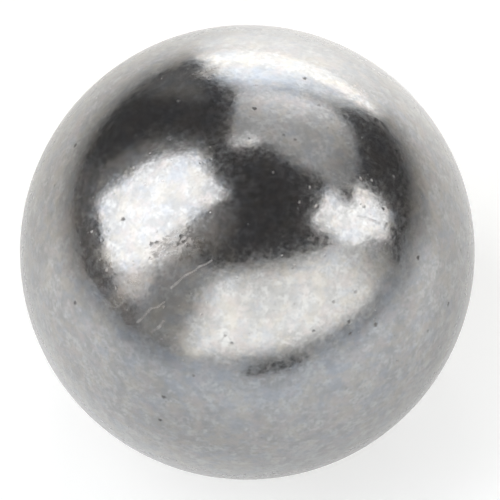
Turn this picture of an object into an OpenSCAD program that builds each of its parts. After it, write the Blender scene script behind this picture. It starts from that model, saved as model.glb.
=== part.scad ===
// Steel ball: one solid ball of hard bright steel, headed, ground and lapped round.
// It has knocked about loose, so its surface carries single dents, smaller nicks,
// short gouges, and scuffed patches where many small knocks lie over each other.

/* [Ball] */
// Diameter of the ball
ball_d = 12.7; // [6:0.1:30]

/* [Single dents] */
// Width of a single dent, across its mouth
dent_w = 0.14; // [0.08:0.01:0.3]
// Depth of a single dent at its middle
dent_deep = 0.03; // [0.01:0.005:0.06]

/* [Nicks] */
// Width of a nick, across its mouth
nick_w = 0.1; // [0.06:0.01:0.2]
// Depth of a nick at its middle
nick_deep = 0.02; // [0.01:0.005:0.04]

/* [Gouges] */
// Width of a gouge, across its mouth at the middle
gouge_w = 0.06; // [0.04:0.01:0.12]
// Depth of a gouge at its middle
gouge_deep = 0.015; // [0.012:0.001:0.03]

/* [Scuffed patches] */
// Width of each small knock in a scuffed patch
knock_w = 0.13; // [0.06:0.01:0.2]
// Depth of each small knock in a scuffed patch
knock_deep = 0.02; // [0.01:0.005:0.04]
// Knocks in the long scuffed patch on the left shoulder
long_scuff_knocks = 14; // [4:1:24]
// Length of the long scuffed patch
long_scuff_l = 1.2; // [0.6:0.1:2]
// Width of the long scuffed patch
long_scuff_w = 0.6; // [0.3:0.1:1]
// Knocks in the round scuffed patch at the back
round_scuff_knocks = 7; // [3:1:16]
// Width of the round scuffed patch
round_scuff_w = 0.5; // [0.3:0.1:1]

/* [Hidden] */

ball_r = ball_d / 2;
ball_fn = 180; // fine enough to look round
tool_fn = 24;  // each mark is far smaller than the ball

// Places are [turn, rise] in degrees. Turn goes round from the front, -Y, towards the
// right, +X; rise goes up from the equator.
dent_places = [
    [35, 26], [58, 30], [34, 37], [-62, 54], [-107, 44], [131, 82], [129, 64],
    [57, 51], [-60, 27], [-27, 15], [59, 10]
];
nick_places = [
    [76, 77], [74, 74], [62, 46], [26, 38], [-10, 36], [-8, 34], [27, 28], [-28, 6],
    [49, 11], [-19, 24], [107, 66], [67, 54], [-89, 48], [17, 33], [28, 31]
];
// Gouges also have a lean, up from level, and a length
gouge_marks = [
    [[55, 47], -60, 0.55],
    [[115, 50], 20, 0.4],
    [[75, 46], 70, 0.25],
    [[50, 6], 10, 0.25]
];
long_scuff_place = [-36, 56];
long_scuff_lean = 40; // how far the patch's length leans up from level
round_scuff_place = [-165, 70];
golden_turn = 137.5;  // lays the knocks of a patch evenly, in no rows

// How far the ball's own surface falls from the middle of a mark to its edge, l across
function fall(l) = ball_r - sqrt(ball_r * ball_r - l * l / 4);

// The radius of the round tool that would leave a mark l across and deep at its middle
function tool_r(l, deep) = (l * l / 4 + pow(deep - fall(l), 2)) / (2 * (deep - fall(l)));

// Turns its children from the middle of the right side, +X, to a place on the ball
module at_place(place) {
    rotate([0, -place[1], place[0] - 90])
        children();
}

// What a round-nosed tool takes away at +X: a round dent
module dent_cut(w, deep) {
    r = tool_r(w, deep);
    translate([ball_r - deep + r, 0, 0])
        sphere(r = r, $fn = tool_fn);
}

// What the rim of a small wheel takes away at +X: a level gouge, l long and w wide
module gouge_cut(l, w, deep) {
    wheel_r = tool_r(l, deep);
    rim_r = tool_r(w, deep);
    translate([ball_r - deep + wheel_r, 0, 0])
        rotate_extrude($fn = ball_fn)
            translate([wheel_r - rim_r, 0]) circle(r = rim_r, $fn = tool_fn);
}

// Knocks spread over an oval patch at +X, l by w
module scuff_cut(l, w, knocks) {
    for (k = [0 : knocks - 1]) {
        reach = sqrt(k / knocks) / 2;
        along = l * reach * cos(k * golden_turn);
        across = w * reach * sin(k * golden_turn);
        rotate([0, -across / ball_r * 180 / PI, along / ball_r * 180 / PI])
            dent_cut(knock_w, knock_deep);
    }
}

module single_dents() {
    for (place = dent_places)
        at_place(place) dent_cut(dent_w, dent_deep);
}

module nicks() {
    for (place = nick_places)
        at_place(place) dent_cut(nick_w, nick_deep);
}

module gouges() {
    for (mark = gouge_marks)
        at_place(mark[0]) rotate([mark[1], 0, 0]) gouge_cut(mark[2], gouge_w, gouge_deep);
}

module scuffed_patches() {
    at_place(long_scuff_place)
        rotate([long_scuff_lean, 0, 0])
            scuff_cut(long_scuff_l, long_scuff_w, long_scuff_knocks);
    at_place(round_scuff_place)
        scuff_cut(round_scuff_w, round_scuff_w, round_scuff_knocks);
}

module ball() {
    color("silver")
        difference() {
            sphere(d = ball_d, $fn = ball_fn);
            single_dents();
            nicks();
            gouges();
            scuffed_patches();
        }
}

ball();
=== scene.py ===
# %% [markdown]
# # A worn steel ball
#
# The object is one loose ball of hard bright steel, 12.7 mm across. Such a ball is
# headed from wire, hardened, ground and lapped until it is round and bright. This
# one has knocked about loose, so its mirror is a little clouded and rippled, and it
# carries dents, nicks and scuffed patches.
#
# The lesson loads the ball's plain model, sets up a table and lights, and then
# makes a finer ball with its real marks and a steel finish over it.

import math
import random

import bmesh
import bpy
from mathutils import Matrix, Vector, kdtree, noise


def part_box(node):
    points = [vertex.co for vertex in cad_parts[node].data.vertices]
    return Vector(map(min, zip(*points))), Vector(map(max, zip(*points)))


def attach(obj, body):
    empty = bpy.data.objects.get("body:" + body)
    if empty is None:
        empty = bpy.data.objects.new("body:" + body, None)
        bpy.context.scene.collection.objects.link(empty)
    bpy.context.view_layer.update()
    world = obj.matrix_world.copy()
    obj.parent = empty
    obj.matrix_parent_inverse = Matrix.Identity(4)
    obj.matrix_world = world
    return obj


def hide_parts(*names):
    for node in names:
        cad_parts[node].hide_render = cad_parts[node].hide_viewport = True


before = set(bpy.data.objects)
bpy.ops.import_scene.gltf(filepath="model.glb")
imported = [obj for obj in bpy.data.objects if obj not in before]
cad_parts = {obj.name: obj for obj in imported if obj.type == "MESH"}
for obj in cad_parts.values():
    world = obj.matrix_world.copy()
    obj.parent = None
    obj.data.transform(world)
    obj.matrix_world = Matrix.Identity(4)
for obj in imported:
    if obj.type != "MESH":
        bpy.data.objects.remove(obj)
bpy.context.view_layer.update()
ball_low, ball_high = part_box("ball")
ball_radius = (ball_high.x - ball_low.x) / 2
mm = 0.001
print(f"the ball is {2 * ball_radius / mm:.2f} mm across")

# %% [markdown]
# ## Directions round the ball
#
# Dents on the ball and lamps round it are both placed by direction. A direction is
# a turn, in degrees round from the front (-Y) towards the right (+X), and a rise, in
# degrees up from level. One small function turns that pair into a vector, so no
# place has to be worked out by hand.

# %% Directions
def towards(turn, rise):
    """The unit vector that points turn degrees round and rise degrees up."""
    t = math.radians(turn)
    r = math.radians(rise)
    return Vector((math.sin(t) * math.cos(r), -math.cos(t) * math.cos(r), math.sin(r)))


print("the front is", tuple(round(part, 3) for part in towards(0, 0)))

# %% [markdown]
# ## The camera
#
# A small bright ball is usually taken from a little way off with a long lens, which
# shows it nearly without perspective. The camera looks down at the ball from the
# front and is rolled a few degrees, as a hand-held one is. The lens is worked out
# from how much of the frame the ball fills, so it follows the ball's size.

# %% Camera
camera_rise = 57
camera_roll = -7
camera_distance = 0.45
ball_share_of_frame = 0.9096
ball_off_middle = (0.0053, 0.0046)

camera_data = bpy.data.cameras.new("camera")
camera = bpy.data.objects.new("camera", camera_data)
bpy.context.scene.collection.objects.link(camera)
view_back = towards(0, camera_rise)
aim = (-view_back).to_track_quat("-Z", "Y").to_matrix().to_4x4()
roll = Matrix.Rotation(math.radians(camera_roll), 4, "Z")
camera.matrix_world = Matrix.Translation(view_back * camera_distance) @ aim @ roll
outline_slope = ball_radius / math.sqrt(camera_distance ** 2 - ball_radius ** 2)
camera_data.lens = camera_data.sensor_width / 2 * ball_share_of_frame / outline_slope
camera_data.shift_x, camera_data.shift_y = ball_off_middle
bpy.context.scene.camera = camera
bpy.context.scene.view_settings.view_transform = "Standard"
print(f"the lens is {camera_data.lens:.0f} mm, from {camera_distance / mm:.0f} mm away")

# %% [markdown]
# ## Small helpers
#
# Materials here are built from nodes. A few helpers keep each recipe short: one
# makes an object of a finished bmesh, one makes an empty material, one feeds an input
# with a number or a link, and two add the nodes that are used most, Math and Map
# Range.

# %% Helpers
def object_of(bm, name, material):
    """Makes an object of a finished bmesh, at the origin, with one material."""
    mesh = bpy.data.meshes.new(name)
    bm.to_mesh(mesh)
    bm.free()
    mesh.materials.append(material)
    made = bpy.data.objects.new(name, mesh)
    bpy.context.scene.collection.objects.link(made)
    return made


def new_material(name):
    """A material with empty nodes, and its node tree."""
    material = bpy.data.materials.new(name)
    material.use_nodes = True
    material.node_tree.nodes.clear()
    return material, material.node_tree


def feed(tree, socket, value):
    """Gives an input socket a plain number, or links another socket to it."""
    if isinstance(value, (int, float)):
        socket.default_value = value
    else:
        tree.links.new(value, socket)


def maths(tree, operation, first, second):
    """A Math node. first and second are sockets or numbers."""
    node = tree.nodes.new("ShaderNodeMath")
    node.operation = operation
    feed(tree, node.inputs[0], first)
    feed(tree, node.inputs[1], second)
    return node.outputs["Value"]


def fade(tree, value, start, end, at_start, at_end, curve="LINEAR"):
    """A Map Range node: as value runs from start to end, the result runs from at_start to at_end."""
    node = tree.nodes.new("ShaderNodeMapRange")
    node.interpolation_type = curve
    feed(tree, node.inputs["Value"], value)
    feed(tree, node.inputs["From Min"], start)
    feed(tree, node.inputs["From Max"], end)
    feed(tree, node.inputs["To Min"], at_start)
    feed(tree, node.inputs["To Max"], at_end)
    return node.outputs["Result"]


print("five helpers are ready")

# %% [markdown]
# ## The table
#
# The ball rests on a pale table. Bright metal shows little colour of its own: it
# shows its surroundings, and its lower half mirrors the table. The table has a sheen
# at the back, where it catches the strip light, and lies in a little shade on the
# right and at the front left. A small glow, seen by the camera and in mirrors only,
# lifts it to white and leaves the ball's soft shadow on it. In mirrors the glow is
# less close under the ball, where a real table is shaded by it, and there is a pool
# of it towards the strip light behind.
#
# A span is where a change starts and where it ends, in metres: along X, along Y, or
# away from the spot under the ball.

# %% Table: tones and places
table_radius = 8.0
table_corners = 96
table_roughness = 0.25
table_tone = 0.8
shaded_tone = 0.55
shaded_x_span = (0.035, 0.075)
# These two tints are painted colour of the light: warm at the back where the strip light falls, cool in
# front
front_cool_light_tint = (0.95, 1.0, 1.065, 1)
back_warm_light_tint = (1.0, 0.975, 0.93, 1)
sheen_y_span = (-0.03, 0.012)
white_level = 1.2
mirrored_glow = 0.26
mirrored_glow_span = (0.035, 0.1)
under_ball_share = 0.65
under_ball_span = (0.015, 0.035)
pool_turn = 160
pool_spread = 46
pool_glow_near = 0.14
pool_glow = 0.32
pool_span = (0.012, 0.05)
shade_turn = -52
shade_spread = 24
shade_share = 0.32
shade_span = (0.02, 0.07)
print(f"the table's tone is {table_tone}, and {shaded_tone} in the shade on the right")

# %% Table: masks
table_material, tree = new_material("pale_table")
table_finish = tree.nodes.new("ShaderNodeBsdfPrincipled")
table_finish.inputs["Roughness"].default_value = table_roughness
table_finish.inputs["Emission Color"].default_value = (1, 1, 1, 1)
table_out = tree.nodes.new("ShaderNodeOutputMaterial")
tree.links.new(table_finish.outputs["BSDF"], table_out.inputs["Surface"])

place = tree.nodes.new("ShaderNodeTexCoord").outputs["Object"]
place_parts = tree.nodes.new("ShaderNodeSeparateXYZ")
tree.links.new(place, place_parts.inputs["Vector"])
away = tree.nodes.new("ShaderNodeVectorMath")
away.operation = "LENGTH"
tree.links.new(place, away.inputs[0])
way = tree.nodes.new("ShaderNodeVectorMath")
way.operation = "NORMALIZE"
tree.links.new(place, way.inputs[0])


def sector(turn, spread):
    """A mask on the table: 1 in one direction from the ball, and 0 spread degrees round from it."""
    nearness = tree.nodes.new("ShaderNodeVectorMath")
    nearness.operation = "DOT_PRODUCT"
    nearness.inputs[1].default_value = towards(turn, 0)
    tree.links.new(way.outputs["Vector"], nearness.inputs[0])
    edge = math.cos(math.radians(spread))
    return fade(tree, nearness.outputs["Value"], edge, 1.0, 0.0, 1.0, "SMOOTHSTEP")


print("masks can run across the table, away from the ball or round it")

# %% Table: colour
right_tone = fade(tree, place_parts.outputs["X"], *shaded_x_span, table_tone, shaded_tone)
far = fade(tree, away.outputs["Value"], *shade_span, 0.0, shade_share)
shade = maths(tree, "MULTIPLY", sector(shade_turn, shade_spread), far)
tone = maths(tree, "MULTIPLY", right_tone, maths(tree, "SUBTRACT", 1.0, shade))
sheen = fade(tree, place_parts.outputs["Y"], *sheen_y_span, 0.0, 1.0)
tree.links.new(sheen, table_finish.inputs["Specular IOR Level"])
# The tint follows the sheen: painted warm light at the back and painted cool light in front
tint = tree.nodes.new("ShaderNodeMix")
tint.data_type = "RGBA"
tint.inputs["A"].default_value = front_cool_light_tint
tint.inputs["B"].default_value = back_warm_light_tint
tree.links.new(sheen, tint.inputs["Factor"])
table_colour = tree.nodes.new("ShaderNodeVectorMath")
table_colour.operation = "SCALE"
tree.links.new(tint.outputs["Result"], table_colour.inputs[0])
tree.links.new(tone, table_colour.inputs["Scale"])
tree.links.new(table_colour.outputs["Vector"], table_finish.inputs["Base Color"])
print("the table's colour is", front_cool_light_tint[:3], "in front and", back_warm_light_tint[:3], "at the back")

# %% Table: glow
near_glow = fade(tree, away.outputs["Value"], *mirrored_glow_span, mirrored_glow, 0.0)
pool_level = fade(tree, away.outputs["Value"], *pool_span, pool_glow_near, pool_glow)
pool = maths(tree, "MULTIPLY", sector(pool_turn, pool_spread), pool_level)
ray = tree.nodes.new("ShaderNodeLightPath")
to_white = maths(tree, "SUBTRACT", white_level, tone)
camera_glow = maths(tree, "MULTIPLY", ray.outputs["Is Camera Ray"], to_white)
under_ball = fade(tree, away.outputs["Value"], *under_ball_span, under_ball_share, 1.0)
lift = maths(tree, "ADD", maths(tree, "MULTIPLY", near_glow, under_ball), pool)
mirror_glow = maths(tree, "MULTIPLY", ray.outputs["Is Glossy Ray"], lift)
glow = maths(tree, "MAXIMUM", camera_glow, mirror_glow)
tree.links.new(glow, table_finish.inputs["Emission Strength"])
print("the camera sees the table at a level of", white_level)

# %% Table: the disc
bm = bmesh.new()
table_place = Matrix.Translation((0, 0, ball_low.z))
bmesh.ops.create_circle(bm, cap_ends=True, segments=table_corners, radius=table_radius,
                        matrix=table_place)
table = object_of(bm, "table", table_material)
print("the table lies at", round(ball_low.z / mm, 2), "mm")

# %% [markdown]
# ## The room
#
# Round the table is a plain dim room. Metal needs something dark to mirror, or it
# looks white and flat: most of the ball's dark middle is this room. Below the
# skyline the world is pale, like the table, where the table ends.

# %% Room
room_tone = 0.067
room_tint = (1, 0.975, 0.98, 1)
below_tone = 1.0
skyline_span = (-0.002, 0.002)

world = bpy.data.worlds.new("room")
bpy.context.scene.world = world
world.use_nodes = True
tree = world.node_tree
tree.nodes.clear()
way = tree.nodes.new("ShaderNodeTexCoord")
way_parts = tree.nodes.new("ShaderNodeSeparateXYZ")
tree.links.new(way.outputs["Generated"], way_parts.inputs["Vector"])
room_level = fade(tree, way_parts.outputs["Z"], *skyline_span, below_tone, room_tone)
above = fade(tree, way_parts.outputs["Z"], *skyline_span, 0.0, 1.0)
tint = tree.nodes.new("ShaderNodeMix")
tint.data_type = "RGBA"
tint.inputs["A"].default_value = (1, 1, 1, 1)
tint.inputs["B"].default_value = room_tint
tree.links.new(above, tint.inputs["Factor"])
room_light = tree.nodes.new("ShaderNodeBackground")
tree.links.new(room_level, room_light.inputs["Strength"])
tree.links.new(tint.outputs["Result"], room_light.inputs["Color"])
world_out = tree.nodes.new("ShaderNodeOutputWorld")
tree.links.new(room_light.outputs["Background"], world_out.inputs["Surface"])
print(f"the room's tone is {room_tone}")

# %% [markdown]
# ## The lights
#
# Soft light for small bright parts comes from windows and white cards. Each is a
# flat glowing panel here, cut to an outline given by a few directions, so that it is
# mirrored where it should be. A panel may be brighter towards one direction, or
# darker round another, as a card is that catches light unevenly. Its rim may be
# soft, and each corner says how sharp the rim is there. Where two panels overlap,
# the nearer one is mirrored. Panels are part of the studio and not of the ball.

# %% Panels of light
panel_distance = 0.95
same_spot = 1e-6


def light_panel(name, outline, glow, tint=(1, 1, 1), soft=1.0, rim_glow=None, brightest=None,
                shades=(), distance=panel_distance):
    """A flat glowing panel whose corners lie in the given directions from the ball.

    Its rim is soft degrees wide and fades to rim_glow. A corner's third number, if any, is
    how much of the glow its own rim keeps: 1 is a sharp edge. brightest is (direction, glow there,
    spread, power): from there the glow falls to the panel's own level, spread degrees away.
    Each of shades is (direction, inner, outer, share): within inner degrees of that direction only
    the share of the glow is left, and outer degrees away all of it.
    """
    rim_glow = room_tone if rim_glow is None else rim_glow
    middle = sum((towards(*corner[:2]) for corner in outline), Vector()).normalized()
    bm = bmesh.new()
    inside = bm.verts.layers.float.new("inside")
    corners = [towards(*corner[:2]) for corner in outline]
    corners = [way * (distance / way.dot(middle)) for way in corners]
    verts = [bm.verts.new(corner) for corner in corners]
    edges = [bm.edges.new((verts[i - 1], verts[i])) for i in range(len(verts))]
    made = bmesh.ops.contextual_create(bm, geom=edges)
    rim = distance * math.tan(math.radians(soft))
    bmesh.ops.inset_region(bm, faces=made["faces"], thickness=rim, use_even_offset=True,
                           use_boundary=True)
    for vertex in bm.verts:
        vertex[inside] = 1.0
        for corner, (turn, rise, *edge) in zip(corners, outline):
            if (vertex.co - corner).length < same_spot:
                vertex[inside] = edge[0] if edge else 0.0
    bmesh.ops.triangulate(bm, faces=bm.faces[:])

    material, tree = new_material(name)
    shine = tree.nodes.new("ShaderNodeEmission")
    shine.inputs["Color"].default_value = (*tint, 1)
    out = tree.nodes.new("ShaderNodeOutputMaterial")
    tree.links.new(shine.outputs["Emission"], out.inputs["Surface"])
    inner = tree.nodes.new("ShaderNodeAttribute")
    inner.attribute_name = "inside"
    place = tree.nodes.new("ShaderNodeTexCoord")
    unit = tree.nodes.new("ShaderNodeVectorMath")
    unit.operation = "NORMALIZE"
    tree.links.new(place.outputs["Object"], unit.inputs[0])

    def nearness(direction, far, near, at_far, at_near, curve="LINEAR"):
        """Runs from at_far to at_near as the direction comes from far to near degrees away."""
        dot = tree.nodes.new("ShaderNodeVectorMath")
        dot.operation = "DOT_PRODUCT"
        dot.inputs[1].default_value = towards(*direction)
        tree.links.new(unit.outputs["Vector"], dot.inputs[0])
        far_dot = math.cos(math.radians(far))
        near_dot = math.cos(math.radians(near))
        return fade(tree, dot.outputs["Value"], far_dot, near_dot, at_far, at_near, curve)

    body_glow = glow
    if brightest:
        best_way, best_glow, spread, power = brightest
        share = maths(tree, "POWER", nearness(best_way, spread, 0, 0.0, 1.0), power)
        body_glow = fade(tree, share, 0.0, 1.0, glow, best_glow)
    for shade_way, inner_reach, outer_reach, kept in shades:
        shade = nearness(shade_way, outer_reach, inner_reach, 1.0, kept, "SMOOTHSTEP")
        body_glow = maths(tree, "MULTIPLY", body_glow, shade)
    level = fade(tree, inner.outputs["Fac"], 0.0, 1.0, rim_glow, body_glow, "SMOOTHSTEP")
    tree.links.new(level, shine.inputs["Strength"])
    panel = object_of(bm, name, material)
    print(f"{name}: {len(outline)} corners, glow {glow}")
    return panel


# %% [markdown]
# ## Windows, strip and cards
#
# Each bright or dark shape in a polished ball is something in the room, squeezed
# small. Here they are a tall window on the left with its frame, sill and walls, a
# broken-up window on the right, and a long strip light behind with haze under it.
# A grey ceiling card hangs at the back right, and a white card stands in front with
# a dark slip lying before it. The lamp overhead lights the table and throws the
# ball's soft shadow, and is not mirrored itself.

# %% Window on the left
light_panel("left_window",
            [(-111, 17, 0.8), (-114, 26, 0.6), (-117, 33, 0.5), (-122, 37, 0.4), (-128, 45, 0.5),
             (-137, 55, 0.6), (-145, 61, 0.6), (-140, 67, 0.5), (-127, 74, 0.4), (-112, 80, 0.4),
             (-77, 84, 0.5), (-66, 81, 0.7), (-68, 71, 0.9), (-68, 60, 0.9), (-66, 50, 0.9),
             (-61, 45, 0.8), (-61, 38, 0.7), (-64, 30, 0.8), (-67, 25, 0.9), (-70, 20, 0.9),
             (-77, 14, 0.9), (-88, 15, 0.8), (-95, 18, 0.8), (-104, 17, 0.8)],
            1.8, tint=(0.985, 1, 1.025), soft=3, rim_glow=0.9, brightest=((-84, 46), 2.46, 54, 0.7))
light_panel("left_window_frame",
            [(-104, 2), (-126, 12), (-137, 28), (-146, 40), (-157, 52), (-162, 62), (-153, 74),
             (-120, 82), (-90, 60)],
            0.32, soft=11, distance=1.2)
light_panel("left_sill",
            [(-79, 15), (-71, 22), (-66, 33), (-59, 30), (-57, 18), (-62, 10), (-73, 9)],
            1.45, tint=(1, 0.965, 0.94), soft=4, rim_glow=0.55)
light_panel("left_wall_low",
            [(-130, 0), (-130, 10), (-112, 14), (-95, 14), (-86, 10), (-78, 11), (-70, 8), (-60, 9),
             (-57, 0)],
            0.18, tint=(1, 0.95, 0.92), soft=3, rim_glow=0.12, brightest=((-66, 2), 0.3, 18, 1))
light_panel("left_wall_high",
            [(-66, 53), (-65, 70), (-60, 78), (-40, 82), (-10, 80), (-10, 66), (-25, 54)],
            0.08, tint=(1, 0.97, 0.96), soft=3, brightest=((-72, 60), 0.45, 34, 2))
light_panel("back_left_wall",
            [(-172, 1), (-174, 34), (-168, 40), (-160, 32), (-153, 16), (-153, 1)],
            0.22, soft=7)

# %% Window on the right
light_panel("right_window",
            [(92, 48), (90, 42), (86, 41), (84, 37), (86, 34), (91, 33), (98, 33), (98, 27), (95, 20),
             (92, 15), (91, 10), (88, 12), (86, 13), (84, 11), (80, 11), (79, 14), (77, 19), (72, 23),
             (68, 26), (65, 29), (63, 35), (64, 42), (61, 44), (61, 49), (65, 51.5), (79, 49.5)],
            2.05, soft=0.9, rim_glow=1.2, brightest=((82, 30), 2.35, 20, 0.6))

# %% Strip light along the back
light_panel("back_strip",
            [(132, -1), (136, 4), (142, 9), (150, 12), (165, 14), (180, 13), (-177, 10), (-174, 4),
             (-173, -1)],
            2.65, tint=(1, 0.99, 0.965), soft=2.5, rim_glow=2.0, distance=0.8)
light_panel("back_strip_haze",
            [(134, 3), (136, 12), (139, 20), (145, 24), (153, 27), (161, 32, 0.4), (170, 37, 0.4),
             (-179, 28, 0.2), (-175, 17, 0.6), (-175, 8, 0.6)],
            1.42, tint=(0.945, 0.995, 1.06), soft=7, rim_glow=0.66, brightest=((170, 8), 2.5, 24, 1.0),
            distance=0.85)

# %% Grey ceiling card at the back right
light_panel("ceiling_card",
            [(174, 26, 0.5), (178, 48, 0.8), (-176, 65, 0.7), (179, 67), (164, 67), (154, 65),
             (141, 64), (122, 64), (108, 58), (97, 49), (91, 45), (90, 41), (95, 36), (100, 32),
             (106, 29), (114, 26), (122, 23), (132, 20), (141, 22), (149, 25), (156, 26)],
            0.75, soft=3.5, rim_glow=0.25, brightest=((160, 20), 2.15, 33, 1.6),
            shades=[((100, 28), 5, 24, 0.6)])
light_panel("ceiling_card_edge",
            [(-174, 66), (-178, 62), (166, 61), (153, 60), (152, 64), (164, 68), (179, 68)],
            1.7, soft=0.8, rim_glow=0.9)

# %% White card in front, and a dark slip before it
light_panel("front_card",
            [(2, 52), (21, 50, 0.1), (40, 45, 0.3), (60, 36, 0.8), (75, 24, 0.7), (80, 10, 0.8),
             (74, 0, 0.3), (56, -1, 0.05), (42, 0, 0.1), (20, 0, 0.05), (-5, 0, 0.05), (-32, -1, 0.3),
             (-52, 2, 0.4), (-54, 12, 1), (-52, 27, 1), (-38, 42, 0.4), (-20, 50)],
            1.43, tint=(1, 1, 0.985), soft=13, rim_glow=0.43, brightest=((0, 12), 1.99, 60, 0.7),
            shades=[((-100, 20), 57, 73, 0.26), ((110, 10), 28, 57, 0.25), ((10, 38), 4, 22, 0.88)])
light_panel("front_left_card",
            [(-24, 46), (-45, 50), (-62, 51), (-64, 30), (-61, 12), (-58, 0), (-30, 0), (-30, 20)],
            0.46, soft=5, rim_glow=0.36, distance=2.5)
dark_slip = light_panel("dark_slip",
                        [(-9, -4), (-4, -5), (6, -5), (12, -5), (17, -4), (22, -1), (19, 1), (14, 2),
                         (8, 2.5), (2, 2), (-4, 1), (-9, -2)],
                        0.02, soft=2.2, rim_glow=0.45, distance=0.06)
dark_slip.visible_camera = False

# %% Lamp overhead
overhead_size = 1.2
overhead_watts = 3.4
overhead_place = (-0.2, 0.3, 1.6)

overhead_lamp = bpy.data.lights.new("overhead_lamp", "AREA")
overhead_lamp.size = overhead_size
overhead_lamp.energy = overhead_watts
overhead = bpy.data.objects.new("overhead_lamp", overhead_lamp)
bpy.context.scene.collection.objects.link(overhead)
overhead.location = overhead_place
overhead.visible_glossy = False
print("the lamp overhead is", overhead_size, "m wide")

# %% [markdown]
# ## The ball's surface
#
# A UV sphere crowds its faces at the poles, and a mirror finish shows it. An
# icosphere has even triangles all round, so it is the better start for bright
# metal. It needs finer faces only where a mark will be pressed in, so those edges
# are subdivided in three rounds, each closer to the mark.
#
# On the real ball a dent is a blow from another ball or from an edge, a gouge is a
# dragged corner, and a scuffed patch is many small knocks close together. Each is
# pressed into the mesh here with a slightly raised lip, because light catches a real
# dent even at its edge. Pits, fresh bare nicks and fine scratches join them, which
# are too small for the plain model. The vertices also carry how dark the floor of
# each mark is, partly grime and partly painted shade of the light trapped in it, and
# how scraped each spot is, for the finish to use later.

# %% Where the marks are
dent_places = [
    (35, 26), (58, 30), (-62, 54), (-107, 44), (131, 82), (129, 64), (-60, 27), (-27, 15),
    (59, 10)
]
faint_dent_places = [
    (34, 37), (57, 51), (62, 46)
]
nick_places = [
    (76, 77), (74, 74), (26, 38), (-10, 36), (-8, 34), (49, 11), (-19, 24), (107, 66),
    (-89, 48), (17, 33)
]
dark_nick_places = [
    (27, 28), (-28, 6), (28, 31)
]
# Pits lie close together in the long scuffed patch
pit_places = [
    (-44, 54), (-42, 55), (-32, 59), (-30, 58), (-32, 57)
]
# Fresh nicks are bare bright steel, which shows best in the dark of the mirror
fresh_nick_places = [
    (67, 55), (69, 52), (76, 46), (35, 64), (46, 65), (34, 74), (-69, 45), (-67, 64), (-61, 68)
]
# Gouges also have a lean, up from level, and a length in millimetres
gouge_marks = [
    ((55, 47), -60, 0.55),
    ((115, 50), 20, 0.4),
    ((75, 46), 70, 0.25),
    ((50, 6), 10, 0.25)
]
# Scuffed patches have a place, a lean, a length and a width in millimetres, and a number of knocks
scuffed_patches = [
    ((-36, 56), 40, 1.2, 0.6, 14),
    ((-165, 70), 0, 0.5, 0.5, 7)
]
# The golden angle lays the knocks of a patch evenly, in no rows
golden_turn = math.radians(137.5)
knock_sizes = (0.1, 0.24)
scrape_sizes = (0.05, 0.08)
scrapes_for_each_knock = 3
# How deep a small knock and a fine scrape are, as a share of their width
knock_slope = 0.008
scrape_slope = 0.015
print("knocks lie", round(math.degrees(golden_turn), 1), "degrees apart round a patch's middle")

# %% What a mark is
class Mark:
    """A dent in the ball: where it is, how long, wide and deep, and how it lies.

    The argument after lean is how dark its floor is: partly grime and partly painted shade of the
    light trapped in it. pale is how freshly scraped. It is an oval, or with straight above 0 a
    groove whose middle runs straight for that long.
    """

    def __init__(self, way, length, width, deep, lean=0.0, grime_and_shade=1.0, pale=0.0, straight=0.0):
        self.way = way
        self.length = length * mm
        self.width = width * mm
        self.deep = deep * mm
        self.grime_and_shade = grime_and_shade
        self.pale = pale
        self.straight = straight * mm
        level = Vector((0, 0, 1)).cross(way).normalized()
        turned = Matrix.Rotation(math.radians(lean), 3, way)
        self.along = turned @ level
        self.across = way.cross(self.along)

    def within(self, point):
        """Where a point lies in the mark's own plan: (u, v), at length 1 on the mark's outline."""
        offset = point - self.way * ball_radius
        u = offset.dot(self.along)
        u = math.copysign(max(0.0, abs(u) - self.straight / 2), u)
        return u / ((self.length - self.straight) / 2), offset.dot(self.across) / (self.width / 2)


print("a mark has a place, a length, a width, a depth and a lean")

# %% Scuffed patches and scratches
def scuff(place, lean, length, width, knocks):
    """An oval patch: knocks of mixed sizes, spread evenly with no rows, and fine scrapes among them."""
    middle = Mark(towards(*place), length, width, 0, lean)
    hand = random.Random(knocks)
    made = []
    for k in range(knocks):
        reach = math.sqrt(k / knocks) / 2
        along = length * mm * reach * math.cos(k * golden_turn)
        across = width * mm * reach * math.sin(k * golden_turn)
        way = (middle.way * ball_radius + middle.along * along + middle.across * across).normalized()
        size = hand.uniform(*knock_sizes)
        grime_and_shade = hand.choice((0.0, 0.15, 0.6))
        turned = lean + hand.uniform(-50, 50)
        long = size * hand.uniform(1, 2)
        made.append(Mark(way, long, size, size * knock_slope, turned, grime_and_shade, 0.6 - grime_and_shade / 2))
    for _ in range(scrapes_for_each_knock * knocks):
        along = length * mm * hand.gauss(0, 0.3)
        across = width * mm * hand.gauss(0, 0.3)
        way = (middle.way * ball_radius + middle.along * along + middle.across * across).normalized()
        size = hand.uniform(*scrape_sizes)
        turned = lean + hand.uniform(-40, 40)
        grime_and_shade = hand.uniform(0, 0.6)
        long = size * hand.uniform(1.5, 4)
        made.append(Mark(way, long, size, size * scrape_slope, turned, grime_and_shade, 0.7 - grime_and_shade))
    return made


def scratch(path, width, deep, pale, grime_and_shade):
    """A crooked scratch through the given places, as a chain of shallow grooves joined end to end."""
    made = []
    for start, end in zip(path, path[1:]):
        first = towards(*start)
        last = towards(*end)
        straight = (last - first).length * ball_radius / mm
        mark = Mark((first + last).normalized(), straight + width, width, deep, 0, grime_and_shade, pale, straight)
        mark.along = (last - first).normalized()
        mark.across = mark.way.cross(mark.along)
        made.append(mark)
    return made


print("marks can be laid one by one, as a scuffed patch or as a scratch")

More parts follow.
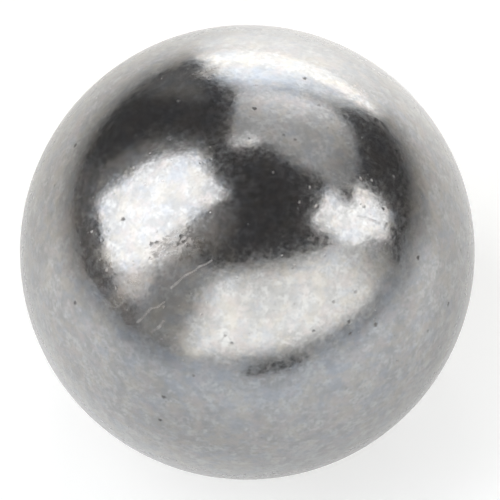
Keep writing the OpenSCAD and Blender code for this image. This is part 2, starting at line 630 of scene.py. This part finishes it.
# %% Marks of each kind
# Each kind has its places, a length, width and depth in millimetres, a lean, how dark its floors
# are (partly grime, partly painted shade) and pale
mark_kinds = [
    (dent_places, 0.15, 0.14, 0.006, 0, 0.9, 0.1),
    (faint_dent_places, 0.14, 0.12, 0.003, 0, 0.5, 0.1),
    (nick_places, 0.11, 0.1, 0.004, 0, 0.55, 0.1),
    (dark_nick_places, 0.13, 0.12, 0.004, 0, 1.0, 0.0),
    (pit_places, 0.17, 0.13, 0.006, 30, 0.75, 0.0),
    (fresh_nick_places, 0.14, 0.09, 0.002, 60, 0.0, 0.7)
]
gouge_width = 0.08
gouge_deep = 0.003
gouge_grime_and_shade = 0.25
gouge_pale = 0.2
# Each scratch has a path, a width and depth in millimetres, pale and how dark its floor is
# (partly grime, partly painted shade)
scratches = [
    ([(-30, 46), (-28, 48), (-26, 50)], 0.11, 0.0008, 0.4, 0.0),
    ([(-26, 50), (-24, 51), (-22, 52), (-21, 53)], 0.08, 0.001, 0.5, 0.0),
    ([(-21, 53), (-18, 54), (-16, 55)], 0.08, 0.001, 0.5, 0.0),
    ([(-38, 34), (-36, 37), (-35, 39)], 0.12, 0.0008, 0.4, 0.0),
    ([(-35, 39), (-33, 40), (-31, 42)], 0.08, 0.001, 0.45, 0.0),
    ([(-33, 33), (-31, 35), (-30, 37)], 0.13, 0.0008, 0.35, 0.0),
    ([(52, 51), (54, 49), (55, 47), (56, 45)], 0.09, 0.001, 0.0, 0.28),
    ([(56, 43), (58, 43)], 0.12, 0.001, 0.0, 0.3)
]

marks = []
for places, long, wide, deep, lean, grime_and_shade, pale in mark_kinds:
    marks += [Mark(towards(*place), long, wide, deep, lean, grime_and_shade, pale) for place in places]
for place, lean, long in gouge_marks:
    marks.append(Mark(towards(*place), long, gouge_width, gouge_deep, lean, gouge_grime_and_shade, gouge_pale))
for place, lean, long, wide, knocks in scuffed_patches:
    marks += scuff(place, lean, long, wide, knocks)
for path, wide, deep, pale, grime_and_shade in scratches:
    marks += scratch(path, wide, deep, pale, grime_and_shade)
print(len(marks), "marks, with those in the scuffed patches and scratches")

# %% Small scattered nicks
# These lie anywhere, from the same seed every time
scatter = random.Random(5)
scattered_nicks = 130
scattered_widths = (0.06, 0.07, 0.09, 0.12)
most_scattered_grime_and_shade = 0.5
for _ in range(scattered_nicks):
    way = Vector([scatter.gauss(0, 1) for _ in range(3)]).normalized()
    width = scatter.choice(scattered_widths)
    length = width * scatter.uniform(1, 1.8)
    grime_and_shade = scatter.uniform(0.0, most_scattered_grime_and_shade)
    lean = scatter.uniform(0, 180)
    marks.append(Mark(way, length, width, width * scrape_slope, lean, grime_and_shade, 0.7 - grime_and_shade))
print(len(marks), "marks in all")

# %% Where the finish is worn
# Each patch has a place, a lean, and a length and width in millimetres
worn_patches = [
    ((-28, 57), 35, 1.6, 0.8),
    ((-57, 43), 20, 0.8, 0.5),
    ((-43, 43), -40, 0.7, 0.5),
    ((-165, 69), 0, 0.8, 0.6),
    ((-47, 36), 60, 1.2, 0.5)
]
patches = [Mark(towards(*place), long, wide, 0, lean) for place, lean, long, wide in worn_patches]
print(len(patches), "worn patches")

# %% Finer faces round each mark
ball_subdivisions = 7
# How far round a mark each round of finer faces reaches, as a share of the mark's own size
finer_rounds = (2.0, 1.5, 1.15)
round_margin = 0.3
search_margin = 0.02 * mm


def vertex_finder(bm):
    """A search tree that finds the vertices near a point."""
    bm.verts.ensure_lookup_table()
    finder = kdtree.KDTree(len(bm.verts))
    for i, vertex in enumerate(bm.verts):
        finder.insert(vertex.co, i)
    finder.balance()
    return finder


bm = bmesh.new()
bmesh.ops.create_icosphere(bm, subdivisions=ball_subdivisions, radius=ball_radius)
for spread in finer_rounds:
    finder = vertex_finder(bm)
    chosen = set()
    for mark in marks:
        reach = spread * mark.length / 2
        for co, i, gap in finder.find_range(mark.way * ball_radius, reach + search_margin):
            if math.hypot(*mark.within(co)) < spread + round_margin:
                chosen.update(bm.verts[i].link_edges)
    bmesh.ops.subdivide_edges(bm, edges=list(chosen), cuts=1, use_grid_fill=True)
    for vertex in bm.verts:
        vertex.co = vertex.co.normalized() * ball_radius
bmesh.ops.triangulate(bm, faces=[face for face in bm.faces if len(face.verts) > 3])
print(len(bm.faces), "triangles")

# %% Press the marks in
# A mark's lip is a share of its depth, and lies just outside its outline
lip_share = 0.08
lip_at = 1.1
lip_width = 0.25
# Vertices within this share of a mark's length from its middle are moved
moved_share = 0.9
# An outline strays from an oval in this many lobes, each by a share between these two
lobe_counts = (2, 3, 5)
lobe_shares = (0.05, 0.16)
# The wall of a mark is curved by this power, which leaves no crease at the outline
wall_power = 1.5

finder = vertex_finder(bm)
sunk = [0.0] * len(bm.verts)
lip = [0.0] * len(bm.verts)
floor_grime_and_shade = [0.0] * len(bm.verts)
scraped = [0.0] * len(bm.verts)
for number, mark in enumerate(marks):
    wobble = random.Random(number)
    lobes = [(turns, wobble.uniform(*lobe_shares), wobble.uniform(0, math.tau)) for turns in lobe_counts]
    for co, i, gap in finder.find_range(mark.way * ball_radius, mark.length * moved_share):
        u, v = mark.within(co)
        angle = math.atan2(v, u)
        edge = 1 + sum(size * math.sin(turns * angle + phase) for turns, size, phase in lobes)
        reach = math.hypot(u, v) / edge
        if reach < 1:
            share = (1 - reach * reach) ** wall_power
            sunk[i] = max(sunk[i], mark.deep * share)
            # How dark each mark's floor is painted: partly grime, partly painted shade of the light
            # trapped in it
            floor_grime_and_shade[i] = max(floor_grime_and_shade[i], mark.grime_and_shade * math.sqrt(1 - reach * reach))
            scraped[i] = max(scraped[i], mark.pale * share)
        lip_here = math.exp(-((reach - lip_at) / lip_width) ** 2)
        lip[i] = max(lip[i], lip_share * mark.deep * lip_here)
print("the deepest mark is", round(max(sunk) / mm, 3), "mm deep")

# %% Shape the ball and paint its spots
# A slow waviness of the whole surface: heights in millimetres, and waves in a millimetre
long_wave = 0.0012
long_wave_count = 0.7
short_wave = 0.0007
short_wave_count = 1.6

grime_and_shade_layer = bm.verts.layers.float.new("grime_and_shade")
scrape_layer = bm.verts.layers.float.new("scrape")
wear_layer = bm.verts.layers.float.new("wear")
for i, vertex in enumerate(bm.verts):
    way = vertex.co.normalized()
    here = way * (ball_radius / mm)
    wave = long_wave * noise.noise(here * long_wave_count)
    wave += short_wave * noise.noise(here * short_wave_count + Vector((9, 0, 0)))
    wear = 0.0
    for patch in patches:
        u, v = patch.within(vertex.co)
        wear = max(wear, math.exp(-(u * u + v * v)) if way.dot(patch.way) > 0 else 0.0)
    # The dark-floor layer carries grime and painted shade together
    vertex[grime_and_shade_layer] = floor_grime_and_shade[i]
    vertex[scrape_layer] = scraped[i]
    vertex[wear_layer] = wear
    vertex.co = way * (ball_radius + wave * mm - sunk[i] + (lip[i] if sunk[i] == 0 else 0))
print("dirt, scrape and wear are painted on", len(bm.verts), "vertices")

# %% [markdown]
# ## The steel
#
# Hardened steel mirrors its surroundings, a little darker than they are. On a used
# ball the mirror is uneven. Thin dull films and polished spots lie side by side,
# there are faint blue, yellow and rosy stains from handling, and the floors of the
# dents are dark, partly with grime and partly with painted shade of the light trapped
# in them. Each is a cloudy mask laid over the bright steel, so its share is easy to
# change. The masks come from two node groups, clouds and specks, used many times at
# different sizes.
#
# A worn mirror shows two images at once: a fairly sharp one from the steel, and a
# blurred one from the thin oily film on it. The blurred one fills the dark parts
# with a soft haze. Roughness alone cannot do both, so the film is a coat.
#
# Last, very low ripples bend the mirrored edges, as a lapped surface does that has
# been knocked about, and tiny pits break them up. They are too small to model, so
# they are bumps in the finish.

# %% Groups for the steel
def node_group(name, inputs):
    """A shader node group with a Place, the named number inputs and one Mask output."""
    group = bpy.data.node_groups.new(name, "ShaderNodeTree")
    group.interface.new_socket("Place", in_out="INPUT", socket_type="NodeSocketVector")
    for socket_name in inputs:
        group.interface.new_socket(socket_name, in_out="INPUT", socket_type="NodeSocketFloat")
    group.interface.new_socket("Mask", in_out="OUTPUT", socket_type="NodeSocketFloat")
    return group, group.nodes.new("NodeGroupInput").outputs, group.nodes.new("NodeGroupOutput").inputs


def make_cloud():
    """Cloudy patches of about the size Patch. Level is how bare the surface stays between them."""
    group, start, end = node_group("cloud", ["Patch", "Detail", "Level", "Softness"])
    cloud = group.nodes.new("ShaderNodeTexNoise")
    cloud.inputs["Roughness"].default_value = 0.6
    group.links.new(start["Place"], cloud.inputs["Vector"])
    group.links.new(maths(group, "DIVIDE", 1.0, start["Patch"]), cloud.inputs["Scale"])
    group.links.new(start["Detail"], cloud.inputs["Detail"])
    low = maths(group, "SUBTRACT", start["Level"], start["Softness"])
    high = maths(group, "ADD", start["Level"], start["Softness"])
    group.links.new(fade(group, cloud.outputs["Fac"], low, high, 0.0, 1.0, "SMOOTHSTEP"), end["Mask"])
    return group


def make_specks():
    """Small round specks: one in each cell of a Voronoi pattern, in a Share of the cells."""
    group, start, end = node_group("specks", ["Spacing", "Size", "Share"])
    cells = group.nodes.new("ShaderNodeTexVoronoi")
    group.links.new(start["Place"], cells.inputs["Vector"])
    group.links.new(maths(group, "DIVIDE", 1.0, start["Spacing"]), cells.inputs["Scale"])
    chance = group.nodes.new("ShaderNodeSeparateColor")
    group.links.new(cells.outputs["Color"], chance.inputs["Color"])
    chosen = maths(group, "LESS_THAN", chance.outputs["Red"], start["Share"])
    speck = fade(group, cells.outputs["Distance"], 0.0, start["Size"], 1.0, 0.0, "SMOOTHSTEP")
    group.links.new(maths(group, "MULTIPLY", speck, chosen), end["Mask"])
    return group


cloud_group = make_cloud()
specks_group = make_specks()
print("groups:", cloud_group.name, "and", specks_group.name)

# %% Steel
steel, tree = new_material("worn_steel")
place = tree.nodes.new("ShaderNodeTexCoord")
in_mm = tree.nodes.new("ShaderNodeMapping")
in_mm.inputs["Scale"].default_value = (1 / mm, 1 / mm, 1 / mm)
tree.links.new(place.outputs["Object"], in_mm.inputs["Vector"])
finish = tree.nodes.new("ShaderNodeBsdfPrincipled")
finish.inputs["Metallic"].default_value = 1
out = tree.nodes.new("ShaderNodeOutputMaterial")
tree.links.new(finish.outputs["BSDF"], out.inputs["Surface"])


def shifted(shift):
    """The place on the ball in millimetres, shifted so that no two patterns line up."""
    moved = tree.nodes.new("ShaderNodeVectorMath")
    moved.operation = "ADD"
    moved.inputs[1].default_value = (shift, -shift, 2 * shift)
    tree.links.new(in_mm.outputs["Vector"], moved.inputs[0])
    return moved.outputs["Vector"]


def effect(group, shift, **values):
    """Places a group in the steel and returns its mask."""
    node = tree.nodes.new("ShaderNodeGroup")
    node.node_tree = group
    tree.links.new(shifted(shift), node.inputs["Place"])
    for name, value in values.items():
        feed(tree, node.inputs[name], value)
    return node.outputs["Mask"]


def tinted(under, colour, mask, share):
    """Lays colour over the colour under it, where the mask says."""
    mix = tree.nodes.new("ShaderNodeMix")
    mix.data_type = "RGBA"
    if isinstance(under, tuple):
        mix.inputs["A"].default_value = (*under, 1)
    else:
        tree.links.new(under, mix.inputs["A"])
    mix.inputs["B"].default_value = (*colour, 1)
    tree.links.new(maths(tree, "MULTIPLY", mask, share), mix.inputs["Factor"])
    return mix.outputs["Result"]


def painted(name):
    """The value that the ball's mesh carries under that name."""
    node = tree.nodes.new("ShaderNodeAttribute")
    node.attribute_name = name
    return node.outputs["Fac"]


grime_and_shade = painted("grime_and_shade")
scrape = painted("scrape")
wear = painted("wear")
print("the steel reads dirt, scrape and wear from the mesh")

# %% Steel: colour
bright_steel = (0.4, 0.4, 0.3965)
dull_film = (0.299, 0.298, 0.2955)
polished_spot = (0.473, 0.474, 0.471)
cool_stain = (0.32, 0.342, 0.38)
warm_stain = (0.425, 0.39, 0.335)
rosy_stain = (0.42, 0.375, 0.365)
pale_scrape = (0.6, 0.55, 0.52)
grime = (0.15, 0.14, 0.13)
# The darkest colour goes on mark floors: partly grime, partly painted shade of the light trapped in the
# dents
dent_grime_and_shade = (0.07, 0.066, 0.062)
brown_grime = (0.2, 0.17, 0.14)

# Each layer has a colour, how much of it shows, the pattern's shift, and then the cloud's
# patch in millimetres, detail, level and softness
layers = [
    (dull_film, 0.85, 11, 0.7, 3.5, 0.5, 0.18),
    (polished_spot, 0.7, 47, 0.3, 2, 0.55, 0.12),
    (dull_film, 0.6, 53, 0.13, 1, 0.54, 0.14),
    (cool_stain, 0.47, 23, 0.6, 3, 0.56, 0.1),
    (warm_stain, 0.42, 31, 0.55, 3, 0.56, 0.1),
    (rosy_stain, 0.4, 37, 0.4, 3, 0.57, 0.1)
]

colour = bright_steel
for layer, share, shift, patch, detail, level, softness in layers:
    clouds = effect(cloud_group, shift, Patch=patch, Detail=detail, Level=level, Softness=softness)
    colour = tinted(colour, layer, clouds, share)
colour = tinted(colour, warm_stain, wear, 0.45)
colour = tinted(colour, grime, effect(specks_group, 5, Spacing=0.25, Size=0.18, Share=0.14), 0.45)
dirt_clouds = effect(cloud_group, 83, Patch=0.2, Detail=2, Level=0.58, Softness=0.08)
colour = tinted(colour, brown_grime, maths(tree, "MULTIPLY", wear, dirt_clouds), 0.7)
colour = tinted(colour, pale_scrape, scrape, 0.8)
# Mark floors are darkened here, partly as grime and partly as painted shade
colour = tinted(colour, dent_grime_and_shade, grime_and_shade, 0.85)
tree.links.new(colour, finish.inputs["Base Color"])
print(len(layers), "cloudy layers lie over the bright steel")

# %% Steel: roughness
mirror_roughness = 0.11
patchy_extra = 0.11
scrape_extra = 0.35
wear_extra = 0.1
mark_floor_roughness = 0.5

patchy = effect(cloud_group, 3, Patch=0.16, Detail=3, Level=0.5, Softness=0.2)
roughness = maths(tree, "ADD", mirror_roughness, maths(tree, "MULTIPLY", patchy, patchy_extra))
roughness = maths(tree, "ADD", roughness, maths(tree, "MULTIPLY", scrape, scrape_extra))
roughness = maths(tree, "ADD", roughness, maths(tree, "MULTIPLY", wear, wear_extra))
roughness = maths(tree, "MAXIMUM", roughness, maths(tree, "MULTIPLY", grime_and_shade, mark_floor_roughness))
tree.links.new(roughness, finish.inputs["Roughness"])
print("the mirror's roughness starts at", mirror_roughness)

# %% Steel: oily film
film_weight = 0.6
broad_extra = 0.1
worn_extra = 0.06
film_roughness = 0.32

broad = effect(cloud_group, 61, Patch=1.2, Detail=2, Level=0.5, Softness=0.2)
film = maths(tree, "ADD", film_weight, maths(tree, "MULTIPLY", broad, broad_extra))
film = maths(tree, "ADD", film, maths(tree, "MULTIPLY", wear, worn_extra))
tree.links.new(film, finish.inputs["Coat Weight"])
finish.inputs["Coat Roughness"].default_value = film_roughness
print("the oily film's roughness is", film_roughness)

# %% Steel: ripples and pits
# Each ripple has a wavelength and a height in millimetres
ripples = [
    (0.5, 0.0043),
    (0.22, 0.002),
    (0.1, 0.0008)
]
pit_depth = 0.003
worn_gain = 2.5


def bumped(normal, height, depth):
    """A Bump node on top of the normal so far. depth is in millimetres for a height of 1."""
    bump = tree.nodes.new("ShaderNodeBump")
    bump.inputs["Distance"].default_value = depth * mm
    tree.links.new(height, bump.inputs["Height"])
    if normal:
        tree.links.new(normal, bump.inputs["Normal"])
    return bump.outputs["Normal"]


gain = fade(tree, wear, 0.0, 1.0, 1.0, worn_gain)
normal = None
for number, (length, height) in enumerate(ripples):
    wave = tree.nodes.new("ShaderNodeTexNoise")
    wave.inputs["Scale"].default_value = 1 / length
    wave.inputs["Detail"].default_value = 1
    tree.links.new(shifted(13 + 7 * number), wave.inputs["Vector"])
    normal = bumped(normal, maths(tree, "MULTIPLY", wave.outputs["Fac"], gain), height)
pits = effect(specks_group, 71, Spacing=0.28, Size=0.14, Share=0.4)
normal = bumped(normal, maths(tree, "SUBTRACT", 1.0, pits), pit_depth)
tree.links.new(normal, finish.inputs["Normal"])
print(len(tree.nodes), "nodes in the steel")

# %% The finished ball
ball = object_of(bm, "worn_ball", steel)
for polygon in ball.data.polygons:
    polygon.use_smooth = True
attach(ball, "root")
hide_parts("ball")
print("the ball has", len(ball.data.polygons), "faces")
